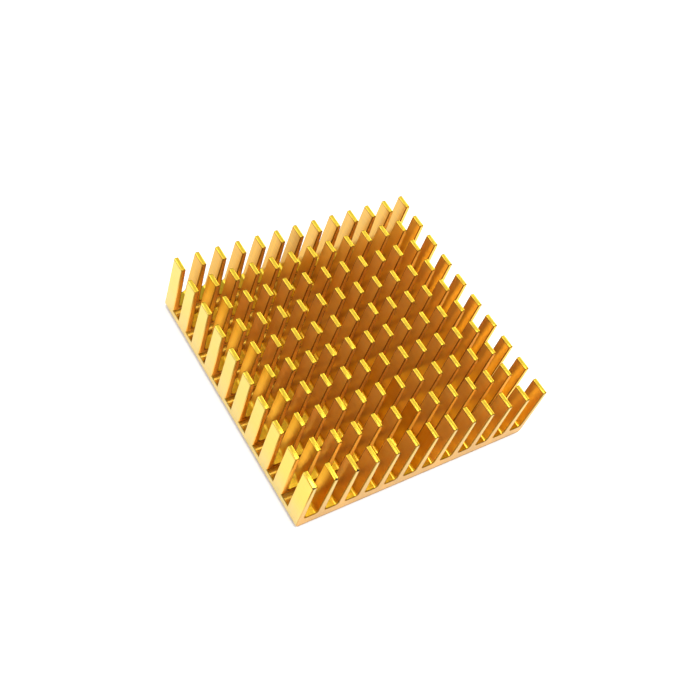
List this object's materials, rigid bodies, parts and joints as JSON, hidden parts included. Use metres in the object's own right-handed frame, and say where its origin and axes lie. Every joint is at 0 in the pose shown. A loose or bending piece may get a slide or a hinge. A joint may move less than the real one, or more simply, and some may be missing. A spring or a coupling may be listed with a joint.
{
  "type": "pin fin heat sink",
  "caption": "Square pin fin heat sink: a thin base with rows of tall flat pins, gold anodised, for bonding to a hot chip or module.",
  "frame": {"origin": "middle of the flat underside", "axes": "+X across the fins, +Y along the extrusion, +Z from the base to the fin tips"},
  "size_m": [0.04, 0.04, 0.011],
  "materials": {
    "gold_anodised": "gold anodised, satin, with fine extrusion lines along the fins and saw marks on the cut faces"
  },
  "bodies": {
    "root": {"heat_sink": "gold_anodised"}
  },
  "joints": []
}
